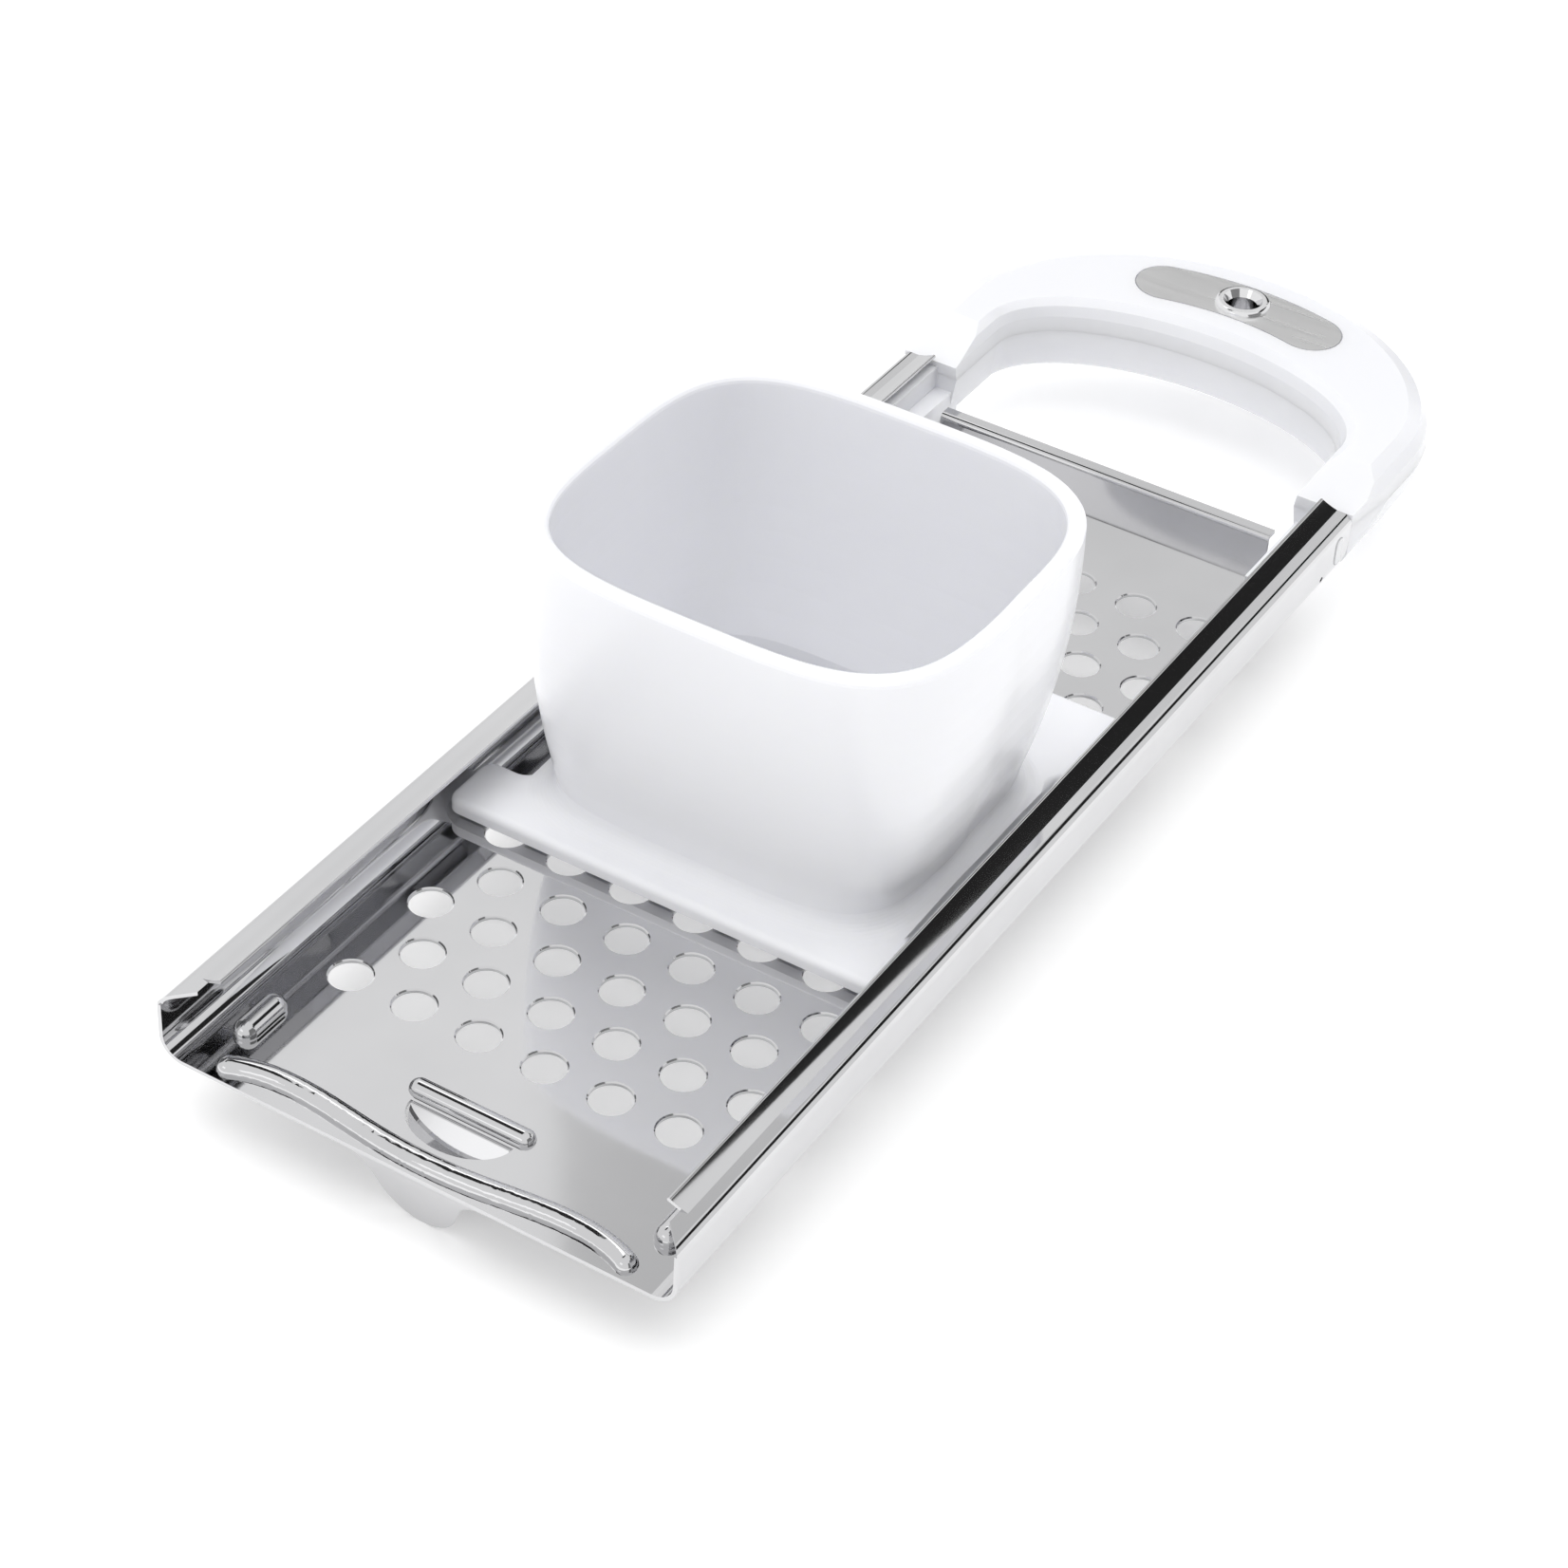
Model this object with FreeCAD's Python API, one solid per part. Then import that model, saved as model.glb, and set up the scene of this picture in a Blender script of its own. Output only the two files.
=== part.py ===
import FreeCAD, Part
import math
import os

# Spaetzle maker: a perforated stainless tray with folded rails, a white hopper that slides along
# the rails and a white loop handle with a steel inlay. Millimetres, +Z up.
# X runs across the tray, Y from the front lip towards the handle.
# The origin is the centre of the footprint, level with the lowest point of the pot hook.

# ---- overall ----
OVERALL_LENGTH = 320.0
FRONT_Y = -OVERALL_LENGTH / 2
HOOK_DROP = 14.0               # top of the tray floor above the lowest point of the pot hook
SHEET = 0.8
WIDE = 80.0                    # half width of cutters that reach past the whole tool

# ---- tray; every STATION below is a distance back from the front edge ----
TRAY_HALF_WIDTH = 52.5
RAIL_HEIGHT = 12.4             # top of the rail flange above the floor
RAIL_LENGTH = 249.0
FLOOR_BEND = 4.0               # inside radius between floor and side wall
TOP_BEND = 1.0
FLANGE_INNER_X = 47.6          # inner edge of the bare flange
HEM_INNER_X = 45.0             # inner edge of the hemmed lip
HEM_RISE = 1.4                 # the inner edge of the lip stands this much above the flange
HEM_FOOT_X = 49.0              # where the lip leaves the flange
HEM_SAG = 0.12                 # hollow of the lip between its foot and its inner edge
HEM_STATION = 8.0
CORNER_CUT = 5.5               # the flange starts with a 45 degree cut
REAR_CORNER_RADIUS = 7.0
REAR_WALL_STATION = 240.8
REAR_WALL_HEIGHT = 6.0
REAR_WALL_HALF_WIDTH = 38.4
REAR_FLANGE_DEPTH = 3.2
REAR_WALL_BENDS = (1.2, 0.7)   # outside radii at the top crease and at the foot
RELIEF = (1.2, 1.4)            # width and depth of the slots at the ends of the rear wall

# ---- drop holes ----
HOLE_DIAMETER = 8.0
HOLE_ENTRY = 0.25              # bevel at the top of each hole
HOLE_PITCH = 13.7
HOLES_PER_ROW = 6
HOLE_ROWS = 16
FIRST_ROW_STATION = 34.0

# ---- pressed beads and the pot hook ----
FRONT_BEAD_LINE = ((0.0, 3.4), (10.0, 3.9), (18.0, 4.9), (26.0, 5.7), (32.0, 5.6), (37.0, 4.7), (40.5, 3.4))
FRONT_BEAD_SIZE = (4.4, 2.1)           # width, height
STIFFENER = (12.8, 17.6, 4.0, 1.9)     # half length, station, width, height
STOP_X = 43.2
STOP_STATIONS = (9.5, 21.6)
STOP_SIZE = (4.8, 3.0)                 # width, height
FLAP_HINGE_STATION = 14.6
FLAP_HALF_WIDTH = 10.5
FLAP_DEPTH = 7.4
FLAP_SIDE_GAP = 0.4
FLAP_TURN = 48.0                       # degrees the tongue is turned down
TAB_HALF_WIDTH = 10.0
TAB_SHOULDER = 6.0
TAB_KNEE = (9.6, 3.4)                  # half width and drop where the shoulder ends
TAB_WAIST = (6.6, 0.72)                # half width, and its drop as a share of the length
TAB_LEAN = 14.0                        # degrees the tab leans back under the tray
LOCK_STATION = 244.0
LOCK_HEIGHT = 6.6                      # centre of the lock slot above the floor
LOCK_SIZE = (3.0, 6.4)                 # width, height
DRAIN_STATION = 237.0
DRAIN_HEIGHT = 3.6
DRAIN_DIAMETER = 1.2

# ---- hopper ----
HOPPER_FLANGE_HALF = 49.6
HOPPER_SHIFT_X = -0.4                  # the hopper rests a little off centre, within its side play
HOPPER_FLANGE_STATIONS = (79.2, 172.4)
HOPPER_FLANGE_THICKNESS = 4.2
HOPPER_GAP = 0.35                      # under the flange
HOPPER_FLANGE_CORNER = 3.0
HOPPER_FLANGE_EDGE = 1.4
HOPPER_FLANGE_BEVEL = 1.2
WAIST_STATIONS = (93.0, 150.5)
WAIST_HALF = 40.0
CUP_STATION = 120.6
CUP_BASE = (37.5, 32.8)                # half sizes at the foot of the wall
CUP_RIM = (44.0, 40.0)
CUP_HEIGHT = 63.8                      # rim above the floor
CUP_FOOT = 9.6                         # the wall starts to widen at this height
CUP_LEAN = 2.2                         # the foot is this far in front of the rim's centre
CUP_WALL = 3.1
CUP_BULGE = 2.3                        # the wall steepens towards the rim; 1 would be a straight cone
CUP_POWER_BASE = 4.6
CUP_POWER_RIM = 3.7
CUP_FLARE = 4.2                        # radius of the fillet around the foot of the cup
CUP_RIM_RADIUS = 1.5
RIM_STEPS = 4
FLARE_STEPS = 10
WALL_STEPS = 12
OVAL_POINTS = 32

# ---- handle ----
HANDLE_OUTER_X = 54.4
HANDLE_OUTER_START = 273.8
HANDLE_INNER_X = 39.6
HANDLE_INNER_START = 266.9
HANDLE_INNER_APEX = 286.9
HANDLE_TOP = 16.0                      # above the floor
HANDLE_PARTING = 9.6
HANDLE_BOTTOM = -0.4
HANDLE_BLEND_STATION = 263.0            # the front ends slope down and in to the rails from here
# height above the floor, inset of the outer outline, inset of the inner outline
HANDLE_LOWER = ((HANDLE_BOTTOM, 5.0, 3.4), (0.7, 2.8, 2.0), (4.6, 1.0, 1.0), (HANDLE_PARTING, 0.0, 0.0))
HANDLE_UPPER = ((HANDLE_PARTING, 0.0, 0.0), (12.8, 0.6, 0.7), (14.9, 2.2, 2.0), (HANDLE_TOP, 5.0, 4.4))
INNER_SIDE_SHARE = 0.7                 # the sides of the inner outline take this share of its inset
LEG_FRONT_STATION = 225.8
LEG_OUTER_X = 50.0
LEG_INNER_X = 40.6
LEG_TOP = 11.2
LEG_BOTTOM = 0.05
LEG_CORNER = 2.6
LEG_STEP_X = 44.4                      # inwards of this the leg is lower
LEG_STEP_TOP = 6.2
BOSS_CLEARANCE = 0.1
BOSS_PROUD = 0.2                       # the boss stands this far out of the side wall

# ---- inlay and eyelet ----
INLAY_RADIUS = 66.0
INLAY_HALF_LENGTH = 24.2
INLAY_WIDTH = 14.0
INLAY_STATION = 303.4
INLAY_THICKNESS = 0.8
INLAY_GAP = 0.25                       # around the plate in its pocket
EYELET_BORE = 6.6
EYELET_BODY = 9.0
EYELET_RIM = 12.0
EYELET_RIM_HEIGHT = 1.0
EYELET_FLARE = (1.0, 1.6)              # extra radius and depth of the mouth
EYELET_FIT = 0.02

EPS = 0.01


def y_at(station):
    return FRONT_Y + station


def z_at(height):
    return HOOK_DROP + height


def vec(x, y, z):
    return FreeCAD.Vector(x, y, z)


def box(x0, x1, y0, y1, z0, z1):
    return Part.makeBox(x1 - x0, y1 - y0, z1 - z0, vec(x0, y0, z0))


def both_sides(shape):
    return [shape, shape.mirror(vec(0, 0, 0), vec(1, 0, 0))]


def fuse_all(first, others):
    return first.multiFuse(others).removeSplitter()


def corner_edges(bar, x_half, z):
    """The two edges along Y at one height and at the full half width."""
    found = []
    for edge in bar.Edges:
        b = edge.BoundBox
        thin = b.XLength < EPS and b.ZLength < EPS
        if thin and abs(b.ZMin - z) < EPS and abs(abs(b.XMin) - x_half) < EPS:
            found.append(edge)
    return found


def rounded_bar(x_half, z0, z1, y0, y1, bottom_radius, top_radius):
    """Bar along Y with its lower and upper long edges rounded."""
    bar = box(-x_half, x_half, y0, y1, z0, z1)
    bar = bar.makeFillet(bottom_radius, corner_edges(bar, x_half, z0))
    return bar.makeFillet(top_radius, corner_edges(bar, x_half, z1))


def rod(start, end, radius):
    axis = end.sub(start)
    return Part.makeCylinder(radius, axis.Length, start, axis)


def capsule(start, end, radius):
    body = rod(start, end, radius)
    return body.fuse([Part.makeSphere(radius, start), Part.makeSphere(radius, end)])


def bead_radius(width, height):
    return (width * width / 4 + height * height) / (2 * height)


def curved_capsule(points, radius):
    """Round bar with round ends along a smooth curve through the points."""
    curve = Part.BSplineCurve()
    curve.interpolate(points)
    ring = Part.Wire([Part.makeCircle(radius, points[0], curve.tangent(curve.FirstParameter)[0])])
    bar = Part.Wire([curve.toShape()]).makePipe(Part.Face(ring))
    return bar.fuse([Part.makeSphere(radius, points[0]), Part.makeSphere(radius, points[-1])])


def raise_bead(tray, outside, inside, height):
    """Adds the part of a bead that stands above the floor and hollows it from below."""
    above = box(-WIDE, WIDE, FRONT_Y - 5, -FRONT_Y, z_at(-SHEET / 2), z_at(height + 1))
    return tray.fuse(outside.common(above)).cut(inside)


def press_bead(tray, start, end, width, height):
    """Straight round-ended bead pressed up from the floor."""
    radius = bead_radius(width, height)
    drop = vec(0, 0, height - radius)
    outside = capsule(start.add(drop), end.add(drop), radius)
    return raise_bead(tray, outside, capsule(start.add(drop), end.add(drop), radius - SHEET), height)


def press_front_bead(tray):
    """Bead behind the front edge that swings forwards over the hook tab."""
    width, height = FRONT_BEAD_SIZE
    radius = bead_radius(width, height)
    right = [(x, y_at(station), z_at(height - radius)) for x, station in FRONT_BEAD_LINE]
    points = [vec(-x, y, z) for x, y, z in right[:0:-1]] + [vec(*p) for p in right]
    return raise_bead(tray, curved_capsule(points, radius), curved_capsule(points, radius - SHEET), height)


def rail_section():
    """Floor, side walls and inward flanges, folded from one sheet."""
    y0 = y_at(0)
    y1 = y_at(RAIL_LENGTH)
    outer = rounded_bar(TRAY_HALF_WIDTH, z_at(-SHEET), z_at(RAIL_HEIGHT), y0, y1,
                        FLOOR_BEND + SHEET, TOP_BEND + SHEET)
    inner = rounded_bar(TRAY_HALF_WIDTH - SHEET, z_at(0), z_at(RAIL_HEIGHT - SHEET),
                        y0 - 1, y1 + 1, FLOOR_BEND, TOP_BEND)
    slot = box(-FLANGE_INNER_X, FLANGE_INNER_X, y0 - 1, y1 + 1,
               z_at(RAIL_HEIGHT - 2 * SHEET), z_at(RAIL_HEIGHT + 1))
    return outer.cut([inner, slot])


def hem():
    """Sprung lip along one flange: it leaves the flange and rises to a rounded inner edge."""
    top = z_at(RAIL_HEIGHT)
    inner = vec(HEM_INNER_X + SHEET / 2, 0, top + HEM_RISE)
    foot = vec(HEM_FOOT_X, 0, top)
    middle = vec((inner.x + foot.x) / 2, 0, (inner.z + foot.z) / 2 - HEM_SAG)
    low_foot = foot.sub(vec(0, 0, SHEET))
    low_inner = inner.sub(vec(0, 0, SHEET))
    edges = [Part.Arc(inner, middle, foot).toShape(), Part.makeLine(foot, low_foot),
             Part.makeLine(low_foot, low_inner), Part.makeLine(low_inner, inner)]
    lip = Part.Face(Part.Wire(Part.__sortEdges__(edges)))
    length = RAIL_LENGTH - HEM_STATION
    lip = lip.extrude(vec(0, length, 0))
    rim_start = inner.sub(vec(0, 0, SHEET / 2))
    lip = lip.fuse(rod(rim_start, rim_start.add(vec(0, length, 0)), SHEET / 2))
    lip.translate(vec(0, y_at(HEM_STATION), 0))
    return lip


def front_corner_cut():
    """Wedge that takes the flange back at 45 degrees over the front corner."""
    x0 = TRAY_HALF_WIDTH - CORNER_CUT
    z0 = z_at(RAIL_HEIGHT - 2 * SHEET)
    points = [vec(x0 - 6, y_at(-1), z0), vec(TRAY_HALF_WIDTH - 0.3, y_at(-1), z0),
              vec(TRAY_HALF_WIDTH - 0.3, y_at(0), z0), vec(x0, y_at(CORNER_CUT), z0),
              vec(x0 - 6, y_at(CORNER_CUT), z0)]
    face = Part.Face(Part.makePolygon(points + [points[0]]))
    return face.extrude(vec(0, 0, 3 * SHEET))


def rear_corner_cut():
    """Rounds the lower rear corner of one side wall."""
    r = REAR_CORNER_RADIUS
    y1 = y_at(RAIL_LENGTH)
    block = box(FLANGE_INNER_X, TRAY_HALF_WIDTH + 1, y1 - r, y1 + 1, z_at(-SHEET - 1), z_at(r - SHEET))
    centre = vec(FLANGE_INNER_X - 1, y1 - r, z_at(r - SHEET))
    return block.cut(rod(centre, centre.add(vec(TRAY_HALF_WIDTH, 0, 0)), r))


def rear_wall():
    """Upstand folded from the rear edge of the floor, with a short rearward flange."""
    w = REAR_WALL_HALF_WIDTH
    y0 = y_at(REAR_WALL_STATION)
    top = z_at(REAR_WALL_HEIGHT)
    upstand = box(-w, w, y0, y0 + SHEET, z_at(-SHEET), top)
    flange = box(-w, w, y0, y0 + REAR_FLANGE_DEPTH, top - SHEET, top)
    wall = upstand.fuse(flange).removeSplitter()
    crease = [e for e in wall.Edges if e.BoundBox.XLength > w and abs(e.BoundBox.YMin - y0) < EPS
              and abs(e.BoundBox.ZMin - top) < EPS]
    wall = wall.makeFillet(REAR_WALL_BENDS[0], crease)
    foot = [e for e in wall.Edges if e.BoundBox.XLength > w and abs(e.BoundBox.YMin - y0 - SHEET) < EPS
            and abs(e.BoundBox.ZMin - z_at(-SHEET)) < EPS]
    return wall.makeFillet(REAR_WALL_BENDS[1], foot)


def rear_openings():
    """Clears the floor behind the rear wall and the small relief slots at its ends."""
    w = REAR_WALL_HALF_WIDTH
    y0 = y_at(REAR_WALL_STATION)
    behind = box(-w, w, y0 + SHEET / 2, y_at(RAIL_LENGTH) + 1, z_at(-SHEET - 1), z_at(EPS))
    width, depth = RELIEF
    slot = box(w, w + width, y0 - depth, y_at(RAIL_LENGTH) + 1, z_at(-SHEET - 1), z_at(EPS))
    return [behind] + both_sides(slot)


def half_disc(half_width, depth, z0, thickness):
    """Half ellipse bulging towards the front from the flap hinge line."""
    y0 = y_at(FLAP_HINGE_STATION)
    major = max(half_width, depth)
    minor = min(half_width, depth)
    ellipse = Part.Ellipse(vec(0, y0, z0), major, minor)
    arc = Part.ArcOfEllipse(ellipse, math.pi, 2 * math.pi).toShape()
    chord = Part.makeLine(vec(-half_width, y0, z0), vec(half_width, y0, z0))
    return Part.Face(Part.Wire([arc, chord])).extrude(vec(0, 0, thickness))


def pot_flap():
    """The tongue cut from the window, turned down behind the rim of the pot."""
    half_width = FLAP_HALF_WIDTH - FLAP_SIDE_GAP
    hinge_y = y_at(FLAP_HINGE_STATION)
    tongue = half_disc(half_width, FLAP_DEPTH, z_at(-SHEET), SHEET)
    tongue.rotate(vec(0, hinge_y, z_at(-SHEET)), vec(1, 0, 0), FLAP_TURN)
    hinge = rod(vec(-half_width, hinge_y, z_at(-SHEET)), vec(half_width, hinge_y, z_at(-SHEET)), SHEET / 2)
    return tongue.fuse(hinge)


def hook_tab():
    """Tongue hanging from the front edge, outside the rim of the pot."""
    root_half = TAB_HALF_WIDTH + TAB_SHOULDER
    tip = -(HOOK_DROP - SHEET / 2) / math.cos(math.radians(TAB_LEAN))
    side = [(root_half, -SHEET), (TAB_KNEE[0], -TAB_KNEE[1]), (TAB_WAIST[0], tip * TAB_WAIST[1])]
    outline = [vec(-x, 0, z) for x, z in side] + [vec(0, 0, tip)] + [vec(x, 0, z) for x, z in side[::-1]]
    curve = Part.BSplineCurve()
    curve.interpolate(outline)
    root = Part.makePolygon([outline[0], vec(-root_half, 0, 0), vec(root_half, 0, 0), outline[-1]])
    face = Part.Face(Part.Wire(Part.__sortEdges__(root.Edges + [curve.toShape()])))
    tab = face.extrude(vec(0, SHEET, 0))
    tab.translate(vec(0, y_at(0), z_at(-SHEET / 2)))
    tab.rotate(vec(0, y_at(0), z_at(-SHEET / 2)), vec(1, 0, 0), TAB_LEAN)
    return tab


def hole_centres():
    """Staggered rows; each row is shifted a quarter pitch either side of the centre line."""
    centres = []
    for row in range(HOLE_ROWS):
        shift = HOLE_PITCH / 4 * (-1 if row % 2 == 0 else 1)
        y = y_at(FIRST_ROW_STATION + row * HOLE_PITCH * math.sqrt(3) / 2)
        for i in range(HOLES_PER_ROW):
            centres.append((HOLE_PITCH * (i - (HOLES_PER_ROW - 1) / 2) + shift, y))
    return centres


def drop_holes():
    """Each hole with a small rounded entry at the top."""
    cutters = []
    r = HOLE_DIAMETER / 2
    for x, y in hole_centres():
        drill = Part.makeCylinder(r, 4 * SHEET, vec(x, y, z_at(-2 * SHEET)))
        entry = Part.makeCone(r, r + HOLE_ENTRY, HOLE_ENTRY, vec(x, y, z_at(-HOLE_ENTRY)))
        cutters.append(drill.fuse(entry))
    return cutters


def lock_slot():
    """Upright slot in one side wall that a boss on the handle leg snaps into."""
    width, height = LOCK_SIZE
    r = width / 2
    reach = height / 2 - r
    x0 = TRAY_HALF_WIDTH - 3 * SHEET
    y = y_at(LOCK_STATION)
    shapes = [box(x0, x0 + 4 * SHEET, y - r, y + r, z_at(LOCK_HEIGHT - reach), z_at(LOCK_HEIGHT + reach))]
    for sign in (-1, 1):
        start = vec(x0, y, z_at(LOCK_HEIGHT + sign * reach))
        shapes.append(rod(start, start.add(vec(4 * SHEET, 0, 0)), r))
    return shapes[0].fuse(shapes[1:])


def build_tray():
    tray = rail_section()
    tray = fuse_all(tray, both_sides(hem()) + [rear_wall()])
    cuts = both_sides(front_corner_cut()) + both_sides(rear_corner_cut()) + rear_openings()
    cuts += both_sides(lock_slot())
    drain = vec(TRAY_HALF_WIDTH - 2, y_at(DRAIN_STATION), z_at(DRAIN_HEIGHT))
    cuts += both_sides(rod(drain, drain.add(vec(4, 0, 0)), DRAIN_DIAMETER / 2))
    cuts.append(half_disc(FLAP_HALF_WIDTH, FLAP_DEPTH, z_at(-2 * SHEET), 4 * SHEET))
    tray = tray.cut(cuts)
    tray = press_front_bead(tray)
    half, station, width, height = STIFFENER
    reach = half - width / 2
    tray = press_bead(tray, vec(-reach, y_at(station), z_at(0)), vec(reach, y_at(station), z_at(0)),
                      width, height)
    for sign in (-1, 1):
        start = vec(sign * STOP_X, y_at(STOP_STATIONS[0] + STOP_SIZE[0] / 2), z_at(0))
        end = vec(sign * STOP_X, y_at(STOP_STATIONS[1] - STOP_SIZE[0] / 2), z_at(0))
        tray = press_bead(tray, start, end, *STOP_SIZE)
    tray = fuse_all(tray, [pot_flap(), hook_tab()])
    return tray.cut(drop_holes())


def oval(half_x, half_y, power, y_centre, z):
    """Closed smooth curve between an ellipse and a rectangle."""
    points = []
    for i in range(OVAL_POINTS):
        t = 2 * math.pi * i / OVAL_POINTS
        c = math.cos(t)
        s = math.sin(t)
        x = half_x * math.copysign(abs(c) ** (2 / power), c)
        y = half_y * math.copysign(abs(s) ** (2 / power), s)
        points.append(vec(x, y_centre + y, z))
    curve = Part.BSplineCurve()
    curve.interpolate(points, PeriodicFlag=True)
    return Part.Wire([curve.toShape()])


def cup_section(height, inset):
    """Outline of the cup at a height above the floor, moved inwards by an inset."""
    t = min(max((height - CUP_FOOT) / (CUP_HEIGHT - CUP_FOOT), 0), 1)
    taper = (1 - t) ** CUP_BULGE
    half_x = CUP_RIM[0] - (CUP_RIM[0] - CUP_BASE[0]) * taper - inset
    half_y = CUP_RIM[1] - (CUP_RIM[1] - CUP_BASE[1]) * taper - inset
    power = CUP_POWER_BASE + (CUP_POWER_RIM - CUP_POWER_BASE) * t
    return oval(half_x, half_y, power, y_at(CUP_STATION - CUP_LEAN * taper), z_at(height))


def wall_sections(start, inset, rim_sign):
    """Sections from a start height up the wall and round the rim."""
    shoulder = CUP_HEIGHT - CUP_RIM_RADIUS
    sections = []
    for k in range(1, WALL_STEPS):
        sections.append(cup_section(start + (shoulder - start) * k / WALL_STEPS, inset))
    for k in range(RIM_STEPS + 1):
        angle = math.pi / 2 * k / RIM_STEPS
        height = shoulder + CUP_RIM_RADIUS * math.sin(angle)
        sections.append(cup_section(height, inset + rim_sign * CUP_RIM_RADIUS * (1 - math.cos(angle))))
    return sections


def cup_outside():
    """Solid cup: a concave flare up from the flange, then a bulged wall to the rounded rim."""
    base = HOPPER_GAP + HOPPER_FLANGE_THICKNESS
    sections = [cup_section(base - 1, -CUP_FLARE)]
    for k in range(FLARE_STEPS + 1):
        angle = math.pi / 2 * k / FLARE_STEPS
        rise = CUP_FLARE * (1 - math.cos(angle))
        spread = CUP_FLARE * (1 - math.sin(angle))
        sections.append(cup_section(base + rise, -spread))
    sections += wall_sections(base + CUP_FLARE, 0, 1)
    return Part.makeLoft(sections, True, True)


def cup_bore():
    """Through bore that follows the wall and opens out at the rounded rim."""
    sections = [cup_section(-1, CUP_WALL)] + wall_sections(0, CUP_WALL, -1)
    sections.append(cup_section(CUP_HEIGHT + 1, CUP_WALL - CUP_RIM_RADIUS))
    return Part.makeLoft(sections, True, True)


def waist_cut(z0, z1):
    """Clearance beside the cup, between the two full-width ends of the slide base."""
    y0 = y_at(WAIST_STATIONS[0])
    y1 = y_at(WAIST_STATIONS[1])
    return box(WAIST_HALF, HOPPER_FLANGE_HALF + 1, y0, y1, z0, z1)


def hopper_flange():
    """Slide base: full width at both ends, waisted beside the cup."""
    y0 = y_at(HOPPER_FLANGE_STATIONS[0])
    y1 = y_at(HOPPER_FLANGE_STATIONS[1])
    z0 = z_at(HOPPER_GAP)
    z1 = z0 + HOPPER_FLANGE_THICKNESS
    w = HOPPER_FLANGE_HALF
    plate = box(-w, w, y0, y1, z0, z1)
    plate = plate.cut(both_sides(waist_cut(z0 - 1, z1 + 1)))
    upright = [e for e in plate.Edges if e.BoundBox.ZLength > 1 and e.BoundBox.XLength < EPS
               and e.BoundBox.YLength < EPS]
    plate = plate.makeFillet(HOPPER_FLANGE_CORNER, upright)
    top = [e for e in plate.Edges if e.BoundBox.ZMin > z1 - EPS]
    plate = plate.makeFillet(HOPPER_FLANGE_EDGE, top)
    bottom = [e for e in plate.Edges if e.BoundBox.ZMax < z0 + EPS]
    return plate.makeChamfer(HOPPER_FLANGE_BEVEL, bottom)


def build_hopper():
    waist = waist_cut(z_at(-1), z_at(CUP_FLARE + 6))
    body = hopper_flange().fuse(cup_outside().cut(both_sides(waist)))
    body = body.cut(cup_bore())
    body.translate(vec(HOPPER_SHIFT_X, 0, 0))
    return body


def d_curve(half_x, start, apex, height, front):
    """Closed D outline: straight legs from the front, then a half ellipse to the apex."""
    y0 = y_at(start)
    z = z_at(height)
    ellipse = Part.Ellipse(vec(0, y0, z), half_x, apex - start)
    bow = Part.ArcOfEllipse(ellipse, 0, math.pi).toShape()
    corners = [vec(half_x, y0, z), vec(half_x, y_at(front), z), vec(-half_x, y_at(front), z),
               vec(-half_x, y0, z)]
    edges = [Part.makeLine(corners[i], corners[i + 1]) for i in range(3)]
    return Part.Wire(Part.__sortEdges__(edges + [bow]))


def handle_section(height, outer_inset, inner_inset):
    front = RAIL_LENGTH
    outer = d_curve(HANDLE_OUTER_X - outer_inset, HANDLE_OUTER_START, OVERALL_LENGTH - outer_inset,
                    height, front)
    inner = d_curve(HANDLE_INNER_X + inner_inset * INNER_SIDE_SHARE, HANDLE_INNER_START,
                    HANDLE_INNER_APEX + inner_inset, height, front - 1)
    return outer, inner


def blend_line(low, high):
    """A point a little before and a little past the blend, on the line between two values."""
    length = HANDLE_BLEND_STATION - RAIL_LENGTH
    slope = (high - low) / length
    return (y_at(RAIL_LENGTH - 1), low - slope), (y_at(HANDLE_BLEND_STATION + 1), high + slope)


def handle_blend():
    """Cutters that bring the front ends of the handle down and in to meet the rails."""
    (y0, z0), (y1, z1) = blend_line(z_at(RAIL_HEIGHT), z_at(HANDLE_TOP))
    points = [vec(-WIDE, y0, z0), vec(-WIDE, y1, z1), vec(-WIDE, y0, z1), vec(-WIDE, y0, z0)]
    over = Part.Face(Part.makePolygon(points)).extrude(vec(2 * WIDE, 0, 0))
    (y0, x0), (y1, x1) = blend_line(TRAY_HALF_WIDTH, HANDLE_OUTER_X)
    points = [vec(x0, y0, 0), vec(x1, y1, 0), vec(x1, y0, 0), vec(x0, y0, 0)]
    beside = Part.Face(Part.makePolygon(points)).extrude(vec(0, 0, WIDE))
    return [over] + both_sides(beside)


def handle_part(levels):
    outers = []
    inners = []
    for height, outer_inset, inner_inset in levels:
        outer, inner = handle_section(height, outer_inset, inner_inset)
        outers.append(outer)
        inners.append(inner)
    solid = Part.makeLoft(outers, True, True)
    return solid.cut([Part.makeLoft(inners, True, True)] + handle_blend())


def leg_tenon():
    """Tongue of one leg that fills the rear end of a rail channel."""
    y0 = y_at(LEG_FRONT_STATION)
    y1 = y_at(RAIL_LENGTH) + 3
    tenon = box(LEG_INNER_X, LEG_OUTER_X, y0, y1, z_at(LEG_BOTTOM), z_at(LEG_TOP))
    edges = [e for e in tenon.Edges if e.BoundBox.YLength > 10
             and abs(e.BoundBox.XMin - LEG_OUTER_X) < EPS and e.BoundBox.ZMax < z_at(1)]
    tenon = tenon.makeFillet(LEG_CORNER, edges)
    step = box(LEG_INNER_X - 1, LEG_STEP_X, y0 - 1, y_at(RAIL_LENGTH), z_at(LEG_STEP_TOP), z_at(LEG_TOP + 1))
    return tenon.cut(step)


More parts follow.
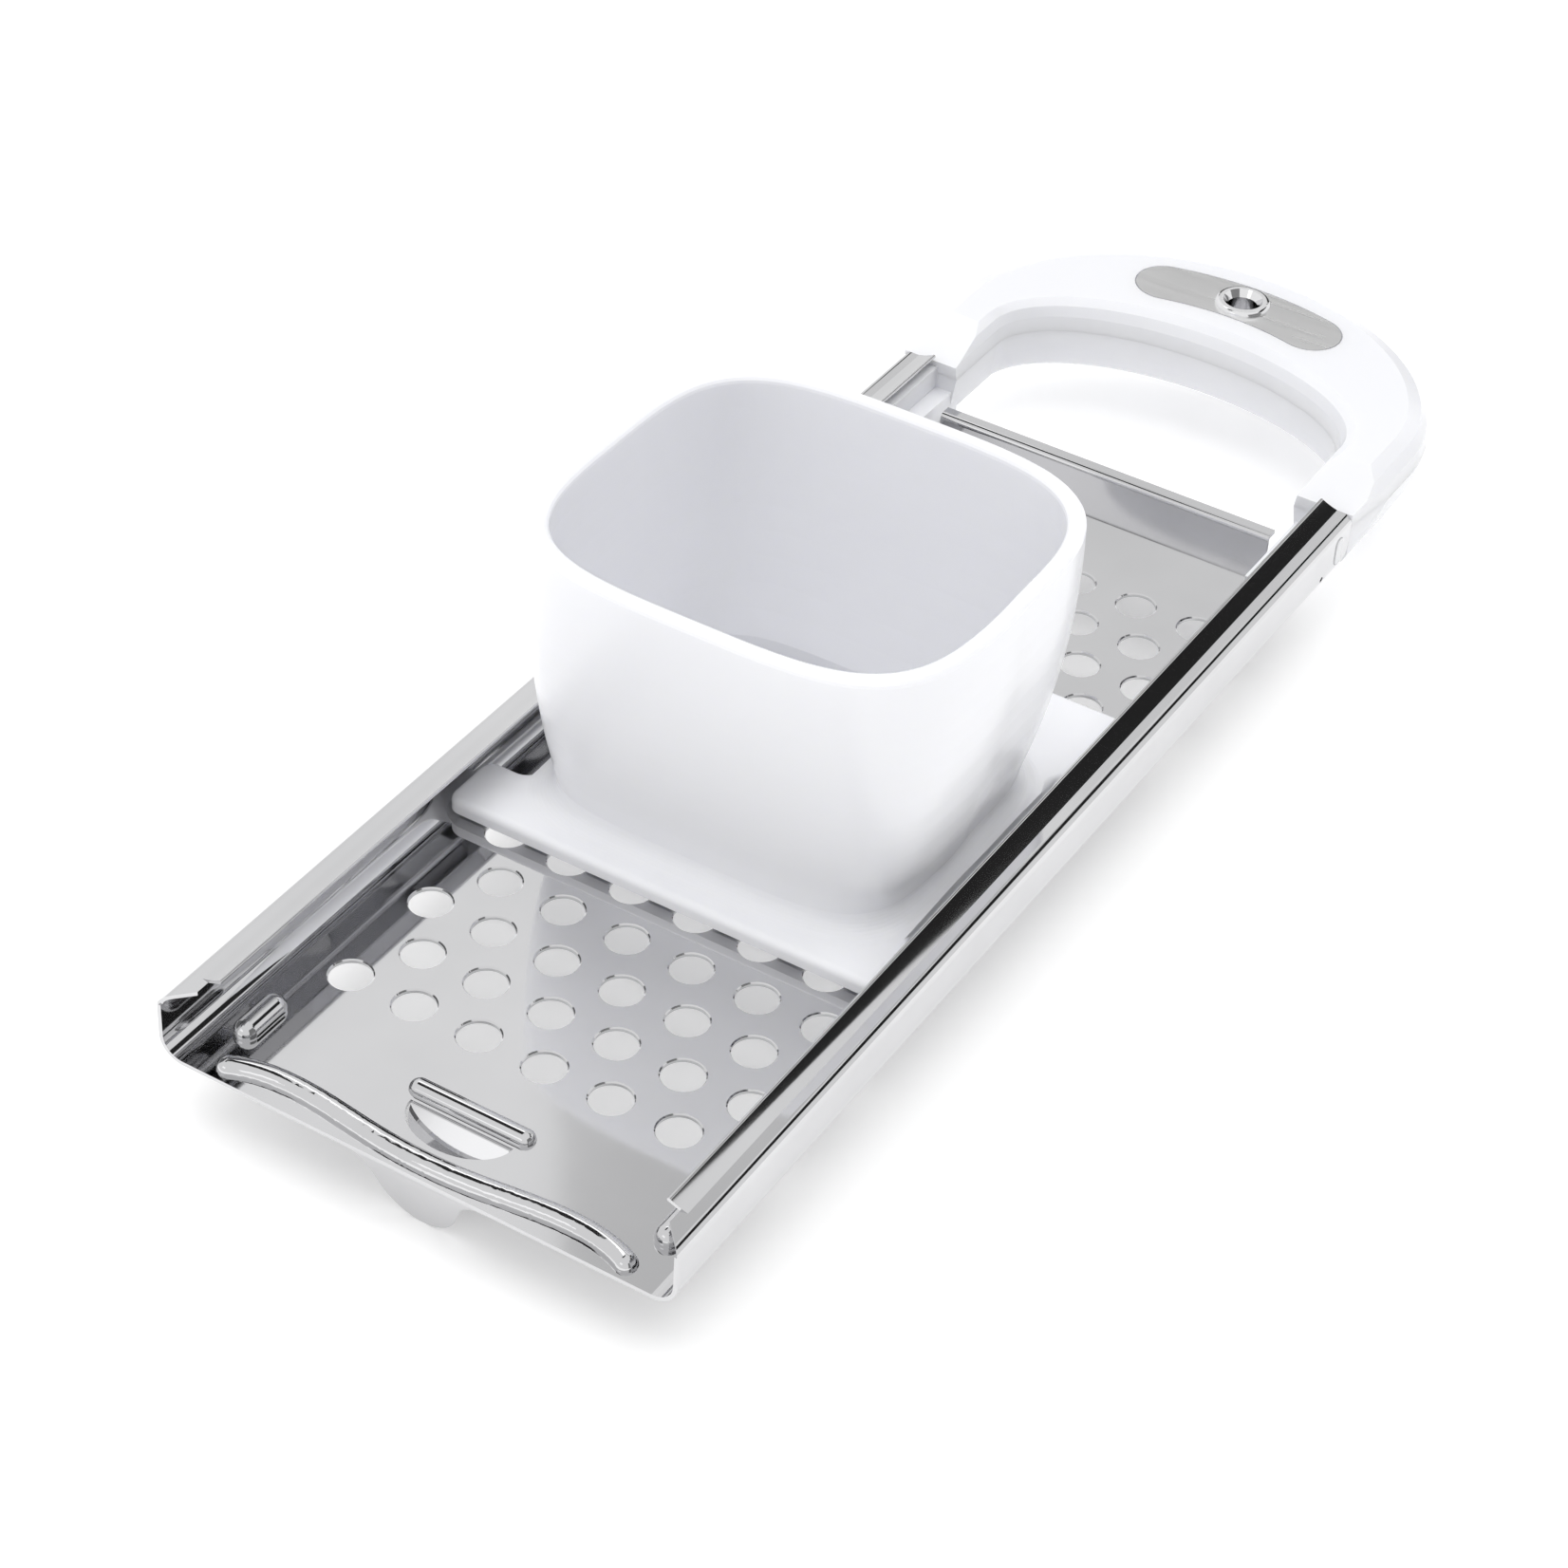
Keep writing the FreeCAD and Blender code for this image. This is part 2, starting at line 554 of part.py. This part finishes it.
def lock_boss():
    """Snap boss on the outside of one leg, seated in the lock slot of the rail."""
    width, height = LOCK_SIZE
    r = width / 2 - BOSS_CLEARANCE
    reach = height / 2 - width / 2
    y = y_at(LOCK_STATION)
    x0 = LEG_OUTER_X - 1
    length = TRAY_HALF_WIDTH + BOSS_PROUD - x0
    shapes = [box(x0, x0 + length, y - r, y + r, z_at(LOCK_HEIGHT - reach), z_at(LOCK_HEIGHT + reach))]
    for sign in (-1, 1):
        start = vec(x0, y, z_at(LOCK_HEIGHT + sign * reach))
        shapes.append(rod(start, start.add(vec(length, 0, 0)), r))
    return shapes[0].fuse(shapes[1:])


def inlay_outline(gap, thickness):
    """Curved obround that follows the crest of the handle, moved inwards by a gap."""
    r = INLAY_RADIUS
    half_width = INLAY_WIDTH / 2 - gap
    centre = vec(0, y_at(INLAY_STATION) - r, z_at(HANDLE_TOP - INLAY_THICKNESS))
    half_angle = math.asin((INLAY_HALF_LENGTH - INLAY_WIDTH / 2) / r)
    ring = Part.makeCylinder(r + half_width, thickness, centre)
    ring = ring.cut(Part.makeCylinder(r - half_width, thickness, centre))
    reach = 2 * r
    x = reach * math.sin(half_angle)
    y = reach * math.cos(half_angle)
    points = [centre, centre.add(vec(-x, y, 0)), centre.add(vec(x, y, 0)), centre]
    ring = ring.common(Part.Face(Part.makePolygon(points)).extrude(vec(0, 0, thickness)))
    ends = []
    for sign in (-1, 1):
        end = centre.add(vec(sign * r * math.sin(half_angle), r * math.cos(half_angle), 0))
        ends.append(Part.makeCylinder(half_width, thickness, end))
    return fuse_all(ring, ends)


def eyelet_hole(diameter):
    return Part.makeCylinder(diameter / 2, 30, vec(0, y_at(INLAY_STATION), z_at(HANDLE_BOTTOM - 3)))


def build_handle_top():
    shell = handle_part(HANDLE_UPPER)
    pocket = inlay_outline(0, HANDLE_TOP)
    return shell.cut([pocket, eyelet_hole(EYELET_BODY)]).removeSplitter()


def build_handle_bottom():
    shell = handle_part(HANDLE_LOWER)
    tenons = both_sides(leg_tenon().fuse(lock_boss()))
    trim = box(-WIDE, WIDE, y_at(RAIL_LENGTH), -FRONT_Y, z_at(HANDLE_PARTING), z_at(HANDLE_TOP))
    tenons = [t.cut(trim) for t in tenons]
    shell = fuse_all(shell, tenons)
    return shell.cut(eyelet_hole(EYELET_BODY))


def build_inlay():
    return inlay_outline(INLAY_GAP, INLAY_THICKNESS).cut(eyelet_hole(EYELET_BODY))


def build_eyelet():
    """Tube through the handle with a rolled rim and a flared mouth at the top."""
    foot = vec(0, y_at(INLAY_STATION), z_at(HANDLE_BOTTOM))
    height = HANDLE_TOP - HANDLE_BOTTOM
    tube = Part.makeCylinder(EYELET_BODY / 2 - EYELET_FIT, height, foot)
    top_rim = Part.makeCylinder(EYELET_RIM / 2, EYELET_RIM_HEIGHT, foot.add(vec(0, 0, height)))
    edges = [e for e in top_rim.Edges if abs(e.BoundBox.ZMin - foot.z - height - EYELET_RIM_HEIGHT) < EPS]
    top_rim = top_rim.makeFillet(EYELET_RIM_HEIGHT * 0.9, edges)
    widening, depth = EYELET_FLARE
    mouth = foot.add(vec(0, 0, height + EYELET_RIM_HEIGHT - depth))
    flare = Part.makeCone(EYELET_BORE / 2, EYELET_BORE / 2 + widening, depth, mouth)
    return fuse_all(tube, [top_rim]).cut([eyelet_hole(EYELET_BORE), flare])


def save(shape, name):
    solid = shape.removeSplitter().Solids[0]
    solid.exportStep("parts/" + name + ".step")


os.makedirs("parts", exist_ok=True)
save(build_tray(), "tray")
save(build_hopper(), "hopper")
save(build_handle_top(), "handle_top")
save(build_handle_bottom(), "handle_bottom")
save(build_inlay(), "inlay_plate")
save(build_eyelet(), "hanging_eyelet")
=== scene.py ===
import math

import bpy
from mathutils import Matrix, Vector

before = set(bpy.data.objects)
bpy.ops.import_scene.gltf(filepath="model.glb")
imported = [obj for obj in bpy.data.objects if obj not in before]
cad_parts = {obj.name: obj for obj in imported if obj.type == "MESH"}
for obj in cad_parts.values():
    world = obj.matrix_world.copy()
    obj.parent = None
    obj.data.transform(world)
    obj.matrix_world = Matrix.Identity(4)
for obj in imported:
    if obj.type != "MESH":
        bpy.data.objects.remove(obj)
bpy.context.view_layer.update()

# ---- camera: azimuth turns from the front lip towards +X ----
CAMERA_PLACE = Vector((0.2734, -0.5234, 0.4650))
CAMERA_AZIMUTH = math.radians(29.67)
CAMERA_ELEVATION = math.radians(38.86)
CAMERA_ROLL = math.radians(3.50)
LENS_MM = 88.2
SENSOR_MM = 36.0

# ---- studio ----
WORLD_STRENGTH = 0.98
FLOOR_REACH = 6.0
FLOOR_COLOR = (0.92, 0.92, 0.92)
FLOOR_ROUGHNESS = 0.9
FLOOR_GLOW = 0.18                      # a lit sweep, so shadows stay faint
SOFTBOX_PLACE = (0, 0.1, 1.5)
SOFTBOX_TARGET = (0, 0.1, 0)
SOFTBOX_SIZE = 1.8
SOFTBOX_WATTS = 11.5
CARD_DISTANCE = 2.5

# Cards that only reflections see: name, azimuths from +Y towards +X, elevations, brightness.
# Angles are in degrees. They are placed for the camera's own view.
GLOSS_CARDS = (
    ("left_light", (-80, -36), (28, 49.5), 1.03),
    ("front_grey", (-36, 4), (43.5, 58), 0.72),
    ("rear_grey", (-33, 4), (28, 38.5), 0.88),
    ("right_black", (3, 66), (31, 46.5), 0.025),
    ("low_black", (-36, 3), (2, 27), 0.03),
    ("bead_light", (-68, -38), (50, 57), 2.0),
    ("bead_black", (-112, -50), (58, 70), 0.03),
    ("front_light", (-178, -152), (24, 36), 1.45),
)
# This one also dims the diffuse light from the right.
SHADING_CARD = ("right_flag", (70, 125), (1, 42), 0.25)

# ---- surfaces; a noise is its scale, detail and roughness ----
GRAIN_NOISE = (4.0, 0.6)               # detail and roughness; each steel has its own scale
GRAIN_ROUGHNESS = (0.7, 1.2)           # shares of the steel's roughness, at the noise's ends
GRAIN_BUMP_M = 0.0002
SMUDGE_NOISE = (28.0, 3.0, 0.55)
SMUDGE_STOPS = (0.35, 0.65)
SMUDGE_DARKENING = 0.94
SMUDGE_ROUGHNESS = (-0.02, 0.03)       # added to the grain's
DRIFT_NOISE = (14.0, 2.0, 0.5)
DRIFT_STOPS = (0.3, 0.7)
SKIN_NOISE = (900.0, 3.0, 0.6)
SKIN_ROUGHNESS = (0.85, 1.2)           # shares of the plastic's roughness, at the noise's ends
SKIN_BUMP = (0.12, 0.00006)            # strength, distance in metres
PLASTIC_IOR = 1.49
PLASTIC_SUBSURFACE = 0.25
PLASTIC_RADIUS_M = (0.006, 0.006, 0.007)


# ---------------------------------------------------------------- node helpers
def new_material(name):
    material = bpy.data.materials.new(name)
    material.use_nodes = True
    return material, material.node_tree.nodes, material.node_tree.links


def principled(nodes):
    return next(n for n in nodes if n.type == "BSDF_PRINCIPLED")


def object_coords(nodes, links, scale):
    coords = nodes.new("ShaderNodeTexCoord")
    mapping = nodes.new("ShaderNodeMapping")
    mapping.inputs["Scale"].default_value = scale
    links.new(coords.outputs["Object"], mapping.inputs["Vector"])
    return mapping.outputs["Vector"]


def noise(nodes, links, vector, scale, detail, roughness):
    node = nodes.new("ShaderNodeTexNoise")
    node.inputs["Scale"].default_value = scale
    node.inputs["Detail"].default_value = detail
    node.inputs["Roughness"].default_value = roughness
    links.new(vector, node.inputs["Vector"])
    return node.outputs["Fac"]


def ramp(nodes, links, factor, stops):
    node = nodes.new("ShaderNodeValToRGB")
    elements = node.color_ramp.elements
    while len(elements) < len(stops):
        elements.new(0.5)
    for element, (position, color) in zip(elements, stops):
        element.position = position
        element.color = (*color, 1.0)
    links.new(factor, node.inputs["Fac"])
    return node.outputs["Color"]


def map_range(nodes, links, value, low, high):
    node = nodes.new("ShaderNodeMapRange")
    node.inputs["To Min"].default_value = low
    node.inputs["To Max"].default_value = high
    links.new(value, node.inputs["Value"])
    return node.outputs["Result"]


def bump(nodes, links, height, strength, distance):
    node = nodes.new("ShaderNodeBump")
    node.inputs["Strength"].default_value = strength
    node.inputs["Distance"].default_value = distance
    links.new(height, node.inputs["Height"])
    return node.outputs["Normal"]


# ---------------------------------------------------------------- materials
def steel_material(name, tint, roughness, grain_scale, grain_strength, stretch):
    """Steel with faint smudges and a grain, drawn out along any axis whose stretch is small."""
    material, nodes, links = new_material(name)
    shader = principled(nodes)
    shader.inputs["Metallic"].default_value = 1.0
    grain_vector = object_coords(nodes, links, stretch)
    grain = noise(nodes, links, grain_vector, grain_scale, *GRAIN_NOISE)
    plain = object_coords(nodes, links, (1.0, 1.0, 1.0))
    smudge = noise(nodes, links, plain, *SMUDGE_NOISE)
    smudged = tuple(c * SMUDGE_DARKENING for c in tint)
    color = ramp(nodes, links, smudge, tuple(zip(SMUDGE_STOPS, (smudged, tint))))
    links.new(color, shader.inputs["Base Color"])
    total = nodes.new("ShaderNodeMath")
    total.operation = "ADD"
    low, high = (roughness * share for share in GRAIN_ROUGHNESS)
    links.new(map_range(nodes, links, grain, low, high), total.inputs[0])
    links.new(map_range(nodes, links, smudge, *SMUDGE_ROUGHNESS), total.inputs[1])
    links.new(total.outputs["Value"], shader.inputs["Roughness"])
    links.new(bump(nodes, links, grain, grain_strength, GRAIN_BUMP_M), shader.inputs["Normal"])
    return material


def plastic_material(name, light, shade, roughness):
    """Semi-gloss moulded plastic with a faint texture and very slight colour drift."""
    material, nodes, links = new_material(name)
    shader = principled(nodes)
    plain = object_coords(nodes, links, (1.0, 1.0, 1.0))
    drift = noise(nodes, links, plain, *DRIFT_NOISE)
    skin = noise(nodes, links, plain, *SKIN_NOISE)
    color = ramp(nodes, links, drift, tuple(zip(DRIFT_STOPS, (shade, light))))
    links.new(color, shader.inputs["Base Color"])
    low, high = (roughness * share for share in SKIN_ROUGHNESS)
    links.new(map_range(nodes, links, skin, low, high), shader.inputs["Roughness"])
    links.new(bump(nodes, links, skin, *SKIN_BUMP), shader.inputs["Normal"])
    shader.inputs["IOR"].default_value = PLASTIC_IOR
    shader.inputs["Subsurface Weight"].default_value = PLASTIC_SUBSURFACE
    shader.inputs["Subsurface Radius"].default_value = PLASTIC_RADIUS_M
    shader.inputs["Subsurface Scale"].default_value = 1.0
    return material


def plain_paint(name, color, roughness):
    material, nodes, _ = new_material(name)
    shader = principled(nodes)
    shader.inputs["Base Color"].default_value = (*color, 1.0)
    shader.inputs["Roughness"].default_value = roughness
    return material


def give(node_name, material):
    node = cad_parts[node_name]
    for slot in node.material_slots:
        slot.material = material


# ---------------------------------------------------------------- scene
def add_camera():
    data = bpy.data.cameras.new("camera")
    data.lens = LENS_MM
    data.sensor_width = SENSOR_MM
    camera = bpy.data.objects.new("camera", data)
    bpy.context.scene.collection.objects.link(camera)
    a, e = CAMERA_AZIMUTH, CAMERA_ELEVATION
    level_right = Vector((math.cos(a), math.sin(a), 0.0))
    back = Vector((math.sin(a) * math.cos(e), -math.cos(a) * math.cos(e), math.sin(e)))
    level_up = back.cross(level_right)
    right = math.cos(CAMERA_ROLL) * level_right + math.sin(CAMERA_ROLL) * level_up
    up = back.cross(right)
    turn = Matrix((right, up, back)).transposed().to_4x4()
    camera.matrix_world = Matrix.Translation(CAMERA_PLACE) @ turn
    bpy.context.scene.camera = camera


def add_softbox():
    """Large soft light straight overhead, hidden from reflections."""
    data = bpy.data.lights.new("softbox", "AREA")
    data.energy = SOFTBOX_WATTS
    data.size = SOFTBOX_SIZE
    light = bpy.data.objects.new("softbox", data)
    light.location = SOFTBOX_PLACE
    aim = Vector(SOFTBOX_TARGET) - Vector(SOFTBOX_PLACE)
    light.rotation_euler = aim.to_track_quat("-Z", "Y").to_euler()
    bpy.context.scene.collection.objects.link(light)
    light.visible_glossy = False


def add_world():
    world = bpy.data.worlds.new("studio")
    world.use_nodes = True
    background = world.node_tree.nodes["Background"]
    background.inputs["Color"].default_value = (1.0, 1.0, 1.0, 1.0)
    background.inputs["Strength"].default_value = WORLD_STRENGTH
    bpy.context.scene.world = world


def add_plane(name, corners, material):
    mesh = bpy.data.meshes.new(name)
    mesh.from_pydata(corners, [], [(0, 1, 2, 3)])
    plane = bpy.data.objects.new(name, mesh)
    bpy.context.scene.collection.objects.link(plane)
    plane.data.materials.append(material)
    return plane


def add_floor():
    r = FLOOR_REACH
    paint = plain_paint("floor_white", FLOOR_COLOR, FLOOR_ROUGHNESS)
    shader = principled(paint.node_tree.nodes)
    shader.inputs["Emission Color"].default_value = (1.0, 1.0, 1.0, 1.0)
    shader.inputs["Emission Strength"].default_value = FLOOR_GLOW
    add_plane("floor", [(-r, -r, 0), (r, -r, 0), (r, r, 0), (-r, r, 0)], paint)


def direction(azimuth, elevation):
    """Unit vector; the azimuth turns from +Y towards +X."""
    a, e = math.radians(azimuth), math.radians(elevation)
    return Vector((math.sin(a) * math.cos(e), math.cos(a) * math.cos(e), math.sin(e)))


def add_card(name, azimuths, elevations, brightness, shades=False):
    """Studio card over a range of directions; unless it shades, only reflections see it."""
    left, right = azimuths
    low, high = elevations
    spans = ((left, low), (right, low), (right, high), (left, high))
    corners = [CARD_DISTANCE * direction(a, e) for a, e in spans]
    material, nodes, links = new_material(name)
    nodes.remove(principled(nodes))
    glow = nodes.new("ShaderNodeEmission")
    glow.inputs["Color"].default_value = (brightness, brightness, brightness, 1.0)
    output = next(n for n in nodes if n.type == "OUTPUT_MATERIAL")
    links.new(glow.outputs["Emission"], output.inputs["Surface"])
    card = add_plane(name, corners, material)
    card.visible_camera = False
    card.visible_diffuse = shades
    card.visible_shadow = False
    card.visible_transmission = False


add_camera()
add_world()
add_floor()
for card in GLOSS_CARDS:
    add_card(*card)
add_card(*SHADING_CARD, shades=True)
add_softbox()
bpy.context.scene.view_settings.view_transform = "Standard"

give("tray", steel_material(
    "stainless_sheet", tint=(0.64, 0.64, 0.65), roughness=0.06,
    grain_scale=90.0, grain_strength=0.015, stretch=(1.0, 0.05, 1.0)))
give("inlay_plate", steel_material(
    "satin_steel", tint=(0.92, 0.92, 0.92), roughness=0.30,
    grain_scale=260.0, grain_strength=0.2, stretch=(0.05, 1.0, 1.0)))
give("hanging_eyelet", steel_material(
    "polished_steel", tint=(0.82, 0.82, 0.83), roughness=0.09,
    grain_scale=120.0, grain_strength=0.05, stretch=(1.0, 1.0, 1.0)))
give("hopper", plastic_material(
    "hopper_white", light=(0.89, 0.895, 0.925), shade=(0.875, 0.88, 0.915), roughness=0.20))
HANDLE_WHITE = plastic_material(
    "handle_white", light=(0.78, 0.785, 0.81), shade=(0.765, 0.77, 0.80), roughness=0.20)
for shell in ("handle_top", "handle_bottom"):
    give(shell, HANDLE_WHITE)
